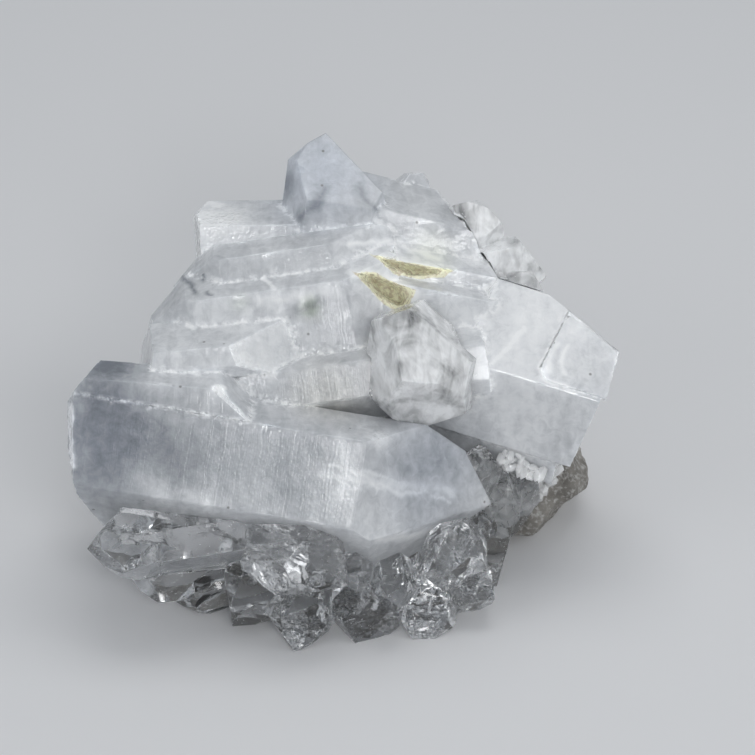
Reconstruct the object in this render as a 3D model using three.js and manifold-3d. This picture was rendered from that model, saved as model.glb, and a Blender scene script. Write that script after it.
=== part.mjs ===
// A quartz cluster: milky prisms grown through one another into a single mass, later clear points
// seated against it, and the vein rock that carries them all. Millimetres, +Z up, the sawn base on
// Z = 0 with the centre of the footprint at the origin.
import * as THREE from "three";
import { ConvexGeometry } from "three/addons/geometries/ConvexGeometry.js";
import { mergeVertices } from "three/addons/utils/BufferGeometryUtils.js";
import Module from "manifold-3d";

const wasm = await Module();
wasm.setup();

// ---------------------------------------------------------------- driving dimensions
const LEAN = 35; // degrees the display face leans back from upright
const SEAT = 40; // height of the display face's centre above the base
const GAP = 0.3; // clearance between neighbouring nodes
const RHOMB = 51.79; // degrees between a tip face's normal and the c axis of quartz
const SEXTANT = 60; // degrees from one prism face to the next
const BLANK = 400; // side of the block that a crystal is cut from
const UNEVEN = 0.3; // spread of a small crystal's face distances, as a share of its size
const MINOR = 0.35; // how far past the tip every other tip face reaches, in crystal sizes

// Points on the crystals are [across, up, out] on the display face: across to the right, up the
// leaning face, out of it towards the viewer. Points on the rock are [x, y, z] as it stands.
const lean = THREE.MathUtils.degToRad(LEAN);
const standing = new THREE.Matrix4().makeBasis(
  new THREE.Vector3(1, 0, 0),
  new THREE.Vector3(0, Math.sin(lean), Math.cos(lean)),
  new THREE.Vector3(0, -Math.cos(lean), Math.sin(lean)),
);
standing.setPosition(0, 0, SEAT);
const lying = standing.clone().invert();

// ---------------------------------------------------------------- solids
function solidOf(geometry) {
  const bare = geometry.clone();
  bare.deleteAttribute("normal");
  bare.deleteAttribute("uv");
  const merged = mergeVertices(bare, 1e-4);
  return new wasm.Manifold(
    new wasm.Mesh({
      numProp: 3,
      vertProperties: merged.getAttribute("position").array,
      triVerts: new Uint32Array(merged.index.array),
    }),
  );
}

function geometryOf(solid) {
  const mesh = solid.getMesh();
  const geometry = new THREE.BufferGeometry();
  geometry.setAttribute("position", new THREE.BufferAttribute(mesh.vertProperties, 3));
  geometry.setIndex(new THREE.BufferAttribute(mesh.triVerts, 1));
  const faceted = geometry.toNonIndexed();
  faceted.computeVertexNormals();
  return faceted;
}

// Keeps what lies behind a plane, the side its normal points away from.
function keepBehind(solid, normal, offset) {
  return solid.trimByPlane(normal.clone().negate().toArray(), -offset);
}

function joined(solids) {
  return solids.reduce((whole, next) => whole.add(next));
}

// The body with the greatest volume, any sealed cavity in it filled.
function largestBody(solid) {
  return solid.decompose().reduce((best, next) => (next.volume() > best.volume() ? next : best));
}

// A repeatable number from 0 to 1 for each seed.
function chance(seed) {
  const wave = Math.sin(seed * 127.1 + 311.7) * 43758.5453;
  return wave - Math.floor(wave);
}

// A point of the standing cluster, carried to the display face's axes.
function behind(x, y, z) {
  return new THREE.Vector3(x, y, z).applyMatrix4(lying).toArray();
}

// ---------------------------------------------------------------- one crystal
// A quartz crystal runs from root to tip. faces holds the distances of its six prism faces from the
// axis: the first looks out of the display face, and the rest follow round by way of the left hand
// of someone walking towards the tip. caps holds how far past the tip each tip face meets the axis,
// roll turns the whole crystal, and breaks are fracture planes, each [normal, point]. A small
// crystal gives a size and a seed in place of faces and caps.
function crystal(spec, swell = 0) {
  const { root, tip, size = 0, seed = 0, roll = 0, breaks = [] } = spec;
  const sixfold = [0, 1, 2, 3, 4, 5];
  const faces = spec.faces ?? sixfold.map((k) => size * (1 + UNEVEN * (chance(seed + k) - 0.5)));
  const caps = spec.caps ?? sixfold.map((k) => (k % 2) * MINOR * size);
  const start = new THREE.Vector3(...root);
  const end = new THREE.Vector3(...tip);
  const axis = end.clone().sub(start).normalize();
  const out = new THREE.Vector3(0, 0, 1).addScaledVector(axis, -axis.z).normalize();
  const left = out.clone().cross(axis);
  const steep = THREE.MathUtils.degToRad(RHOMB);

  let solid = solidOf(new THREE.BoxGeometry(BLANK, BLANK, BLANK));
  solid = keepBehind(solid, axis.clone().negate(), -axis.dot(start) + swell);
  for (const k of sixfold) {
    const turn = THREE.MathUtils.degToRad(roll + SEXTANT * k);
    const radial = out.clone().multiplyScalar(Math.cos(turn)).addScaledVector(left, Math.sin(turn));
    solid = keepBehind(solid, radial, radial.dot(start) + faces[k] + swell);
    const slope = axis.clone().multiplyScalar(Math.cos(steep)).addScaledVector(radial, Math.sin(steep));
    const apex = end.clone().addScaledVector(axis, caps[k]);
    solid = keepBehind(solid, slope, slope.dot(apex) + swell);
  }
  for (const [normal, point] of breaks) {
    const away = new THREE.Vector3(...normal).normalize();
    solid = keepBehind(solid, away, away.dot(new THREE.Vector3(...point)) + swell);
  }
  return solid.transform(standing.elements);
}

// A mass of broken rock: an oval block cut by fracture planes that lean every way.
function lump({ at, reach, seed, planes = 22 }) {
  const centre = new THREE.Vector3(...at);
  let solid = solidOf(new THREE.BoxGeometry(BLANK, BLANK, BLANK));
  for (let k = 0; k < planes; k++) {
    const height = 1 - (2 * (k + 0.5)) / planes;
    const turn = 2.4 * k + 1.6 * chance(seed + k);
    const flat = Math.sqrt(1 - height * height);
    const normal = new THREE.Vector3(flat * Math.cos(turn), flat * Math.sin(turn), height);
    const far = normal.clone().multiply(new THREE.Vector3(...reach)).length();
    solid = keepBehind(solid, normal, normal.dot(centre) + far * (0.84 + 0.2 * chance(3 * seed + k)));
  }
  return solid;
}

// A hollow where a crystal has come away: the hull of its rim, lifted clear, and of its floor.
function hollow({ rim, floor }) {
  const corners = [...rim, ...floor].map((point) => new THREE.Vector3(...point));
  return solidOf(new ConvexGeometry(corners)).transform(standing.elements);
}

// ---------------------------------------------------------------- milky prisms
const LEFT_END = [
  [[-1, 0, 0.02], [-67.3, -10, 20]],
  [[-0.94, 0, 0.34], [-65.6, -10, 31]],
  [[-0.78, 0.62, 0.02], [-62.6, 6, 22]],
  [[-0.98, -0.18, 0.02], [-65.6, -20, 22]],
  [[-0.81, -0.58, 0.02], [-62, -27, 20]],
];

const MILKY = [
  // great prism along the front, its left end broken, one broad tip face towards the viewer
  {
    root: [-80, -6.6, 6], tip: [36.6, -25.7, 6], faces: [26, 22.2, 7, 14, 20, 22.4],
    caps: [0, 30, 0, 30, 0, 0], breaks: LEFT_END,
  },
  // its parallel twin, which carries the upper left corner
  {
    root: [-80, -5.5, 8], tip: [-2.5, -11.8, 8], faces: [23.8, 22.6, 7, 12, 18, 22],
    caps: [30, 0, 30, 4, 30, 0], breaks: [...LEFT_END, [[0.5, 0.55, 0.67], [-30.4, 2.4, 31.2]]],
  },
  // left stack, lower prism pointing left
  {
    root: [14, 26.2, 4], tip: [-51, 17.2, 4], faces: [13, 17, 12, 10, 11, 11], caps: [2, 24, 24, 3, 0, 1],
    breaks: [
      [[-0.97, 0.1, 0.2], [-48.6, 15, 6]],
      [[0.5, 0.1, 0.86], [1, 24, 17]],
    ],
  },
  // ledge along the foot of the left stack, resting on the twin
  {
    root: [4, 14.5, 13], tip: [-66, 7.5, 13], faces: [13.5, 9.4, 8, 8, 8, 8.5],
    breaks: [
      [[-0.97, 0.12, 0.2], [-48, 8, 20]],
      [[0.5, 0.2, 0.84], [-27, 11, 26.5]],
    ],
  },
  // left stack, upper prism
  {
    root: [14, 36.3, 1], tip: [-43, 28.4, 1], faces: [10, 9, 8, 8, 6, 9], caps: [0, 2, 0, 2, 0, 0],
    breaks: [[[0.5, 0.1, 0.86], [-3, 34, 11]]],
  },
  // prism between the stack and the great prism
  {
    root: [35, 9.7, 10], tip: [-45, -1.3, 10], faces: [12, 10, 8, 8, 8, 9.7],
    breaks: [[[-0.97, 0.15, 0.2], [-26.5, 3, 20]]],
  },
  // stout upright prism behind the central point
  {
    root: [6, -12, 0], tip: [9, 31, -3], faces: [12.5, 9, 9, 10, 9, 10], caps: [0, 4, 0, 4, 0, 4],
    roll: 6,
  },
  // right block, a ridge along its middle, its outer end broken
  {
    root: [14, 14.5, 2], tip: [86, -7.5, 2], faces: [15.6, 22, 15, 15, 17.5, 15.6], roll: 30,
    breaks: [
      [[0.97, -0.24, 0.04], [66, 4, 10]],
      [[0.91, -0.41, 0.04], [61, -5, 10]],
      [[0.63, 0.77, 0.04], [62, 17, 8]],
      [[-0.8, 0.6, 0.35], [33.5, 22.5, 10]],
    ],
  },
  // its last growth layer, which stops short in a rounded step
  {
    root: [14, 14.5, 2], tip: [86, -7.5, 2], faces: [16.3, 21.6, 10, 10, 10, 15], roll: 30,
    breaks: [
      [[0.97, -0.24, 0.04], [65.6, 4, 10]],
      [[0.63, 0.77, 0.04], [61.6, 17, 8]],
      [[-0.88, 0.47, 0], [48.2, 8.4, 18]],
      [[-0.93, -0.37, 0], [48.4, 7, 18]],
      [[-0.6, -0.8, 0], [50, 4.8, 18]],
      [[-0.29, -0.956, 0], [52, 3.9, 18]],
    ],
  },
  // pale ledge under the right block, in the gap beside the great prism's tip
  {
    root: [6, 5, 0], tip: [70, -21, 0], faces: [9.5, 7, 6, 6, 6, 7], roll: 8,
    breaks: [[[0.95, -0.3, 0.1], [52.5, -18, 2]]],
  },
  // upper mass, prisms fanning down to the right
  {
    root: [-4, 44.6, -10], tip: [56, 29.8, -12], faces: [12, 11.4, 14.6, 10, 10, 12],
    breaks: [[[0.9, 0.4, -0.2], [30, 44, -4]]],
  },
  {
    root: [-8, 35.4, -5], tip: [56, 24, -8], faces: [12, 10, 10, 10, 10, 10], roll: -6,
    breaks: [[[0.9, 0.4, -0.1], [36, 34, 0]]],
  },
  { root: [-8, 27.4, -1], tip: [50, 16, 2], faces: [12, 9, 10, 10, 10, 12], roll: 10 },
  // top crystal, a broad tip face towards the viewer
  {
    root: [-12.2, 17.8, -13], tip: [-4.9, 67.3, -7], faces: [13, 8.3, 6.3, 12, 14, 19],
    caps: [0, 2.9, 0, 9, 0, 12],
  },
  // small blunt crystal beside it
  {
    root: [14, 34, -24], tip: [17, 60, -14], faces: [6, 5, 6, 6, 5, 7], caps: [0, -2, 1, 2, 1, -2],
    roll: 25,
    breaks: [[[-0.05, 1, 0.1], [15.6, 57.2, -12]]],
  },
  // upper left prism, broken square
  {
    root: [10, 39.6, -9], tip: [-56, 38.4, -7], faces: [10, 10, 9, 10, 11, 9],
    breaks: [
      [[-0.99, -0.08, 0.12], [-36.4, 43, 2]],
      [[-0.75, 0.66, 0.1], [-35.4, 48.4, 0]],
    ],
  },
  // stout core, and the prisms that lean out of the far side
  { root: behind(2, 17, 26), tip: behind(3, 41, 71), size: 19, seed: 5 },
  { root: behind(-6, 6, 22), tip: behind(-33, 51, 50), size: 14, seed: 9, roll: 20 },
  { root: behind(14, 6, 20), tip: behind(37, 52, 52), size: 13, seed: 15, roll: 5 },
  { root: behind(46, 34, 22), tip: behind(-44, 45, 30), size: 10.5, seed: 25, roll: 12 },
  { root: behind(6, 20, 14), tip: behind(10, 56, 34), size: 11, seed: 29, roll: 35 },
];

// ---------------------------------------------------------------- later clear points
const CLEAR = {
  clear_crystal_centre: [
    {
      root: [23, 12, 0], tip: [14.1, 4.8, 38], faces: [10.8, 13.4, 14.4, 12.3, 13.3, 14.7], roll: -10,
      caps: [0, 5, 0, 4, 0, 5],
    },
  ],
  clear_crystals_left: [
    { root: [-16, -29, 16], tip: [-62.4, -36, 26], size: 8.8, seed: 11, roll: 12 },
    { root: [-14, -39, 6], tip: [-53, -43.5, 14], size: 7, seed: 21, roll: 40 },
    { root: [-14, -32, 6], tip: [-27.5, -55.5, 16], size: 8.5, seed: 31, roll: 20 },
    { root: [-14, -38, 2], tip: [-44, -48.5, 9], size: 7.5, seed: 36, roll: 0 },
  ],
  clear_crystals_front: [
    {
      root: [-32, -22, 14], tip: [1, -45, 27], size: 10, seed: 41, roll: 8,
      breaks: [[[-0.97, -0.05, 0.22], [-24.2, -36, 26]], [[-0.1, 0.96, 0.25], [-19, -29.4, 28]]],
    },
    { root: [1, -38, 6], tip: [3, -42.5, 27], size: 4.8, seed: 51, roll: 0 },
    { root: [-10, -38, 6], tip: [-12, -62, 18], size: 8.5, seed: 61, roll: 15 },
    { root: [6, -38, 2], tip: [4, -63, 14], size: 8, seed: 71, roll: 30 },
    { root: [10, -38, 4], tip: [13, -50, 24], size: 4.5, seed: 81, roll: 10 },
  ],
  clear_crystals_right: [
    { root: [22, -52, 0], tip: [30, -28.6, 17], size: 8.2, seed: 91, roll: 20 },
    { root: [22, -42, 2], tip: [37, -49, 14], size: 6, seed: 101, roll: 25 },
    { root: [32, -46, -8], tip: [34, -10.4, 6], size: 5.2, seed: 111, roll: 10 },
    { root: [32, -48, -8], tip: [40, -17, 4], size: 6, seed: 121, roll: 35 },
    { root: [22, -42, 2], tip: [18, -61, 14], size: 7.5, seed: 131, roll: 5 },
    { root: [32, -38, -10], tip: [48, -16, -4], size: 5.5, seed: 136, roll: 15 },
  ],
  clear_crystals_back: [
    { root: behind(-14, 34, 10), tip: behind(-22, 56, 16), size: 7, seed: 161, roll: 15 },
    { root: behind(-16, 36, 8), tip: behind(-6, 57, 10), size: 6, seed: 171, roll: 40 },
    { root: behind(-14, 34, 8), tip: behind(-36, 48, 10), size: 6, seed: 181, roll: 5 },
    { root: behind(-12, 34, 8), tip: behind(8, 54, 14), size: 5.5, seed: 191, roll: 25 },
  ],
  clear_crystals_upper_right: [
    { root: [26, 33, -16], tip: [50.4, 31, 0], size: 8.5, seed: 141, roll: 5 },
    { root: [20, 38, -18], tip: [39.4, 44.6, -2], size: 8, seed: 151, roll: 35 },
    { root: [28, 28, -14], tip: [50, 26, 4], size: 5.5, seed: 156, roll: 20 },
  ],
};

// ---------------------------------------------------------------- hollows left by lost crystals
const HOLLOWS = [
  {
    rim: [
      [2, 31.8, 17], [8, 31.6, 16], [18.4, 27.4, 15], [16.2, 22.4, 15], [12.9, 22, 15], [6, 26.4, 16],
    ],
    floor: [[7.2, 29.8, 7], [11.8, 27.8, 4.4], [13.4, 24.6, 5.4], [10, 26, 6.6]],
  },
  {
    rim: [[6, 36.7, 13], [14.9, 34.9, 12], [27.6, 32.3, 11], [24.6, 30.2, 11], [12.2, 30.9, 12]],
    floor: [[11, 34.4, 3.4], [16.4, 33.2, 1], [22, 32, 2.6], [17, 31.3, 3]],
  },
];

// ---------------------------------------------------------------- vein rock
const ROCK = [
  { at: [-2, 10, 12], reach: [47, 34, 24], seed: 3 },
  { at: [37, 14, 9], reach: [25, 20, 19], seed: 5 },
  { at: [-32, 18, 9], reach: [23, 22, 17], seed: 7 },
  { at: [26, 32, 8], reach: [20, 16, 15], seed: 13 },
  { at: [50, 8, 12], reach: [12, 11, 9], seed: 17 },
];

// ---------------------------------------------------------------- assembly
const intergrown = largestBody(joined(MILKY.map((spec) => crystal(spec))));
const solids = { milky_crystals: intergrown.subtract(joined(HOLLOWS.map(hollow))) };
let taken = largestBody(joined(MILKY.map((spec) => crystal(spec, GAP))));
for (const [name, specs] of Object.entries(CLEAR)) {
  solids[name] = largestBody(joined(specs.map((spec) => crystal(spec))).subtract(taken));
  taken = taken.add(joined(specs.map((spec) => crystal(spec, GAP))));
}
solids.matrix = largestBody(joined(ROCK.map(lump)).subtract(taken));

const FINISH = {
  milky_crystals: { color: 0xd9dde3, roughness: 0.25 },
  matrix: { color: 0x8d857a, roughness: 0.9 },
};
const GLASSY = { color: 0xe8eef4, roughness: 0.05, transparent: true, opacity: 0.45 };

for (const name of Object.keys(solids)) {
  solids[name] = solids[name].trimByPlane([0, 0, 1], 0);
}
const bounds = joined(Object.values(solids)).boundingBox();
const toOrigin = [0, 1].map((axis) => -(bounds.min[axis] + bounds.max[axis]) / 2);

const cluster = new THREE.Group();
for (const [name, solid] of Object.entries(solids)) {
  const mesh = new THREE.Mesh(
    geometryOf(solid.translate(toOrigin[0], toOrigin[1], 0)),
    new THREE.MeshStandardMaterial({ metalness: 0, ...(FINISH[name] ?? GLASSY) }),
  );
  mesh.name = name;
  cluster.add(mesh);
}

export default cluster;
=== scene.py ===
# %% [markdown]
# # A quartz cluster
# Milky prisms grew through one another into one mass, clear points grew on it later, and all of
# them stand on a piece of the vein rock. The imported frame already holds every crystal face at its
# true angle. What is left for this notebook is what makes those faces look like quartz: worn
# edges, growth lines, broken ends, milk and veils inside, and flaws that flash in the clear ones.

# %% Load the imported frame
import math

import bmesh
import bpy
import numpy as np
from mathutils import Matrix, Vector
from mathutils.bvhtree import BVHTree
from mathutils.kdtree import KDTree


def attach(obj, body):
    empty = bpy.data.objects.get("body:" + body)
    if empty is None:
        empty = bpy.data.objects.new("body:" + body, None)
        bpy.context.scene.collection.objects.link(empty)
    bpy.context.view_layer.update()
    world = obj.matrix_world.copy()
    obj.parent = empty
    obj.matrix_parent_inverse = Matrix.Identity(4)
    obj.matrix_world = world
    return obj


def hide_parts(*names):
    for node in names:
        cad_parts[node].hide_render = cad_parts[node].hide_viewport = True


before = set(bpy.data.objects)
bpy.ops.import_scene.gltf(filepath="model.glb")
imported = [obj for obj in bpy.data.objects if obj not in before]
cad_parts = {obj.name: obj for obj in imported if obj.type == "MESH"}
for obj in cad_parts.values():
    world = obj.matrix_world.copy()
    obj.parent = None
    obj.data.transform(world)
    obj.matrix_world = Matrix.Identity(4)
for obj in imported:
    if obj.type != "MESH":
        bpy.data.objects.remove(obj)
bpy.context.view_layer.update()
MM = 0.001
CLEAR_NODES = sorted(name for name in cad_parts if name.startswith("clear"))
print("nodes:", sorted(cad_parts))

# %% [markdown]
# ## The display face
# The cluster is looked at along one direction, 35 degrees above the table. Places on it are easiest
# to give as across, up and out on an upright board that leans back by that angle. One helper turns
# such a place into the frame's own axes, so that no later cell needs trigonometry.

# %% Places on the display face
LEAN = math.radians(35)
PICTURE_MIDDLE = (8.125, 5.625)
DISPLAY_CENTRE = Vector((-0.45, -2.83, 40.0)) * MM
ACROSS = Vector((1, 0, 0))
UP = Vector((0, math.sin(LEAN), math.cos(LEAN)))
OUT = Vector((0, -math.cos(LEAN), math.sin(LEAN)))


def on_display(across, up, out):
    """A place given in millimetres on the leaning face, as a point of the frame in metres."""
    return DISPLAY_CENTRE + (across * ACROSS + up * UP + out * OUT) * MM


print("the display face leans back", round(math.degrees(LEAN)), "degrees")

# %% [markdown]
# ## The camera
# A long lens a little under a metre away keeps the prisms' edges nearly parallel. The lens follows
# from two plain sizes: the distance, and how wide a strip of the display face the picture takes in.

# %% Camera
DISTANCE = 900 * MM
STRIP = 188.75 * MM
NEAREST_SEEN = 50 * MM
AIM = on_display(*PICTURE_MIDDLE, 0)


def new_object(name, data):
    """An object in the scene that shows this data."""
    made = bpy.data.objects.new(name, data)
    bpy.context.scene.collection.objects.link(made)
    return made


camera = new_object("camera", bpy.data.cameras.new("camera"))
camera.location = AIM + OUT * DISTANCE
camera.rotation_euler = (-OUT).to_track_quat("-Z", "Y").to_euler()
camera.data.lens = camera.data.sensor_width * DISTANCE / STRIP
camera.data.clip_start = NEAREST_SEEN
bpy.context.scene.camera = camera
print("lens:", round(camera.data.lens, 1), "mm")

# %% [markdown]
# ## Noise for shapes
# Nature's small bumps need a noise that gives the same value for the same place on every run.
# Blender's own noise takes one point a call, which is slow for a hundred thousand points, so this
# is value noise over whole arrays: a random number on every corner of a grid, blended smoothly.

# %% Noise over arrays of points
CORNERS = [(x, y, z) for x in (0, 1) for y in (0, 1) for z in (0, 1)]
WHOLE = 0xFFFFFFFF
MIX_X, MIX_Y, MIX_Z, MIX_SEED, MIX_AGAIN = 374761393, 668265263, 1442695041, 974634777, 1274126177
OCTAVE_SHIFT = 37.3


def corner_value(cells, seed):
    """A repeatable number from -1 to 1 for each grid corner."""
    x, y, z = (cells[:, k] & WHOLE for k in range(3))
    mixed = (x * MIX_X + y * MIX_Y + z * MIX_Z + seed * MIX_SEED) & WHOLE
    mixed = ((mixed ^ (mixed >> 13)) * MIX_AGAIN) & WHOLE
    return ((mixed ^ (mixed >> 16)) & WHOLE) / 2.0**31 - 1


def cloud(points, size, seed=0, octaves=1):
    """Smooth noise, about -1 to 1, whose lumps are about size across."""
    total = np.zeros(len(points))
    for octave in range(octaves):
        scaled = points / (size / 2**octave) + OCTAVE_SHIFT * octave
        cells = np.floor(scaled).astype(np.int64)
        part = scaled - cells
        part = part * part * (3 - 2 * part)
        for corner in CORNERS:
            weight = np.prod(np.where(corner, part, 1 - part), axis=1)
            total += weight * corner_value(cells + corner, seed + octave) / 2**octave
    return total


print("noise half way between corners:", cloud(np.full((1, 3), 0.5 * MM), MM).round(3))

# %% [markdown]
# ## Whole crystal faces
# The frame's meshes are loose triangles. Welding their corners and dissolving the edges inside
# each flat region gives back the real faces, which can then be told apart. Quartz helps here: two
# neighbouring prism faces always meet at 60 degrees along the crystal's axis, and a tip face stands
# 51.79 degrees from that axis. Any face that fits no crystal nearby is a break.

# %% Read the faces and what each one is
WELD = 0.002 * MM
FLAT = math.radians(0.4)
SHORTEST_EDGE = 1.2 * MM
FARTHEST_AXIS = 60 * MM
PRISM_TURN = 60.0
TIP_TILT = math.cos(math.radians(51.79))
ANGLE_SLACK = 0.3
AXIS_SLACK = 0.004
PRISM, TIP, BREAK = 0, 1, 2


def whole_faces(name):
    """A node's mesh with its triangles joined back into flat faces."""
    solid = bmesh.new()
    solid.from_mesh(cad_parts[name].data)
    bmesh.ops.remove_doubles(solid, verts=solid.verts, dist=WELD)
    bmesh.ops.dissolve_limit(solid, angle_limit=FLAT, verts=solid.verts, edges=solid.edges)
    solid.normal_update()
    return solid


def crystal_axes(solid):
    """The middle and direction of every edge along which two prism faces meet."""
    axes = []
    for edge in solid.edges:
        if edge.is_convex and edge.calc_length() > SHORTEST_EDGE:
            turn = math.degrees(edge.calc_face_angle())
            if abs(turn - PRISM_TURN) < ANGLE_SLACK:
                start, end = (vert.co for vert in edge.verts)
                axes.append(((start + end) / 2, (end - start).normalized()))
    return axes


def read_faces(solid):
    """Marks every face with a number, and gives each number's kind and crystal axis."""
    axes = crystal_axes(solid)
    mark = solid.faces.layers.int.new("facet")
    kinds, directions = [], []
    for number, face in enumerate(solid.faces):
        face[mark] = number
        centre = face.calc_center_median()
        best = (FARTHEST_AXIS, BREAK, OUT)
        for middle, direction in axes:
            lean = abs(face.normal.dot(direction))
            for kind, wanted in ((PRISM, 0.0), (TIP, TIP_TILT)):
                if abs(lean - wanted) < AXIS_SLACK:
                    away = (centre - middle).length
                    if away < best[0]:
                        best = (away, kind, direction)
        kinds.append(best[1])
        directions.append(best[2])
    return np.array(kinds), np.array(directions)


sample = whole_faces("clear_crystal_centre")
print("the centre point has", len(sample.faces), "whole faces")
sample.free()

# %% [markdown]
# ## Worn edges and a fine skin
# A perfectly sharp edge looks cut by a computer. Real ones are worn to a narrow bevel that catches
# the light, and here and there a flake is missing. Bevelling the whole faces first gives that
# narrow strip. Then every long edge is split in the middle again and again, finer beside the edges
# and on breaks than in the middle of a smooth face, so that the skin can carry relief.
#
# Bevelling leaves gaps in Blender's list of faces, and cutting the faces into triangles fills the
# gaps in another order on each run. Random places that are drawn later follow that order. So the
# triangles in the gaps are sorted, which makes every run give the same cluster.

# %% Sharp edges, and plain arrays
CREASE = math.radians(14)


def sharp_edges(solid):
    return [edge for edge in solid.edges if edge.is_manifold and edge.calc_face_angle() > CREASE]


def edge_samples(solid, convex=True, spacing=0.4 * MM):
    """Points along the outward sharp edges, or the inward ones, in a tree that finds the nearest."""
    points = []
    for edge in sharp_edges(solid):
        if edge.is_convex == convex:
            start, end = (vert.co for vert in edge.verts)
            count = max(2, math.ceil((end - start).length / spacing))
            points += [start.lerp(end, k / count) for k in range(count + 1)]
    tree = KDTree(len(points))
    for number, point in enumerate(points):
        tree.insert(point, number)
    tree.balance()
    return tree


def gaps_to(tree, points):
    return np.array([tree.find(point)[2] for point in points], dtype=float)


def arrays_of(solid):
    """Corner places, triangles and each triangle's facet number."""
    before = list(solid.faces)
    bmesh.ops.triangulate(solid, faces=solid.faces)
    solid.verts.index_update()
    solid.faces.index_update()
    mark = solid.faces.layers.int["facet"]
    points = np.array([vert.co for vert in solid.verts])
    triangles = np.array([[vert.index for vert in face.verts] for face in solid.faces])
    facets = np.array([face[mark] for face in solid.faces])
    own = {face.index for face in before if face.is_valid}
    refilled = [row for row in range(max(own)) if row not in own]
    turn = (np.argmin(triangles[refilled], axis=1)[:, None] + np.arange(3)) % 3
    rows = np.take_along_axis(triangles[refilled], turn, axis=1)
    order = np.lexsort(rows.T[::-1])
    triangles[refilled] = rows[order]
    facets[refilled] = facets[refilled][order]
    return points, triangles, facets


# %% Split long edges
MARK_REACH = 0.7 * MM
FROST_SHARE = 0.15
MOST_ROUNDS = 16


def length_of(vectors):
    return np.linalg.norm(vectors, axis=-1)


def split_triangles(points, triangles, facets, middles):
    """Cuts each triangle by the middles of its sides, where a middle of -1 leaves the side whole."""
    cuts = np.sum(middles >= 0, axis=1)
    only_cut = np.argmax(middles >= 0, axis=1)
    after_whole = (np.argmax(middles < 0, axis=1) + 1) % 3
    turn = np.where(cuts == 1, only_cut, after_whole)
    order = (turn[:, None] + np.arange(3)) % 3
    a, b, c = np.take_along_axis(triangles, order, axis=1).T
    ab, bc, ca = np.take_along_axis(middles, order, axis=1).T
    short = (cuts == 2) & (length_of(points[a] - points[bc]) < length_of(points[ab] - points[c]))
    long = (cuts == 2) & ~short
    pieces = [
        (cuts == 0, (a, b, c)),
        (cuts == 1, (a, ab, c)), (cuts == 1, (ab, b, c)),
        (cuts >= 2, (ab, b, bc)),
        (short, (a, ab, bc)), (short, (a, bc, c)),
        (long, (a, ab, c)), (long, (ab, bc, c)),
        (cuts == 3, (a, ab, ca)), (cuts == 3, (ca, bc, c)), (cuts == 3, (ab, bc, ca)),
    ]
    made = [np.stack(corners, axis=1)[chosen] for chosen, corners in pieces]
    return np.concatenate(made), np.concatenate([facets[chosen] for chosen, _ in pieces])


def refine(points, triangles, facets, tree, reach_of_facet, fine, band):
    """Splits edges until each is as short as its facets ask, and finer beside a sharp edge."""
    gaps = gaps_to(tree, points)
    frost = covered(points, FROSTED)
    drawn = drawn_on(points)
    for _ in range(MOST_ROUNDS):
        sides = np.sort(triangles[:, [0, 1, 1, 2, 2, 0]].reshape(-1, 2), axis=1)
        _, first, which = np.unique(sides @ [len(points), 1], return_index=True, return_inverse=True)
        ends = sides[first]
        wanted = np.full(len(ends), np.inf)
        np.minimum.at(wanted, which, np.repeat(reach_of_facet[facets], 3))
        beside = np.minimum(gaps[ends[:, 0]], gaps[ends[:, 1]]) < band
        beside |= frost[ends].max(axis=1) > FROST_SHARE
        wanted[beside] = np.minimum(wanted[beside], fine)
        on_mark = drawn[ends].any(axis=1)
        wanted[on_mark] = np.minimum(wanted[on_mark], MARK_REACH)
        cut = length_of(points[ends[:, 0]] - points[ends[:, 1]]) > wanted
        if not cut.any():
            break
        middles = np.full(len(ends), -1)
        middles[cut] = len(points) + np.arange(cut.sum())
        fresh = points[ends[cut]].mean(axis=1)
        points = np.concatenate([points, fresh])
        gaps = np.concatenate([gaps, gaps_to(tree, fresh)])
        frost = np.concatenate([frost, covered(fresh, FROSTED)])
        drawn = np.concatenate([drawn, drawn_on(fresh)])
        triangles, facets = split_triangles(points, triangles, facets, middles[which].reshape(-1, 3))
    return points, triangles, facets, gaps


def normals_of(points, triangles):
    """The normal at each point, larger triangles counting for more."""
    corners = points[triangles]
    facing = np.cross(corners[:, 1] - corners[:, 0], corners[:, 2] - corners[:, 0])
    sums = [
        sum(np.bincount(triangles[:, k], facing[:, axis], len(points)) for k in range(3))
        for axis in range(3)
    ]
    total = np.stack(sums, axis=1)
    return total / np.maximum(length_of(total), 1e-20)[:, None]


# %% [markdown]
# ## Places that differ
# No two parts of the cluster look alike: the great prism is greyer and clearer than the rest, the
# right block is the whitest, and some ends are frosted with tiny breaks. Each of these is a few
# soft spots, given by their middle on the display face and how far they reach.

# %% Soft spots
def spot_strengths(places, spots):
    """From 0 to 1 for each place and spot: how near the place is to the spot's middle."""
    strengths = []
    for across, up, out, reach in spots:
        gap = length_of(places - np.array(on_display(across, up, out)))
        near = np.clip(1 - gap / (reach * MM), 0, 1)
        strengths.append(near * near * (3 - 2 * near))
    return np.array(strengths)


def covered(places, spots):
    return spot_strengths(places, spots).max(axis=0)


# Each spot is across, up, out and reach in millimetres. Frosted: where the great prism meets the
# centre point, the top of the upper left prism, the broken end of the middle prism, the crest on
# the right and the left end of the stack.
FROSTED = [
    (6, -3, 30, 8), (10, -8, 30, 6), (-30, 48, 0, 11), (-38, 45, 0, 7),
    (-26, 2, 17, 9), (-33, 4, 17, 6), (34, 34, -2, 9), (-44, 12, 12, 6),
]

# flat ends that healed smooth, so they aren't rough although they cut across a crystal
HEALED = [(-20.8, 13.2, 16, 13), (-48, 8, 12, 10)]
print(len(FROSTED), "frosted spots and", len(HEALED), "healed ones")
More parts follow.
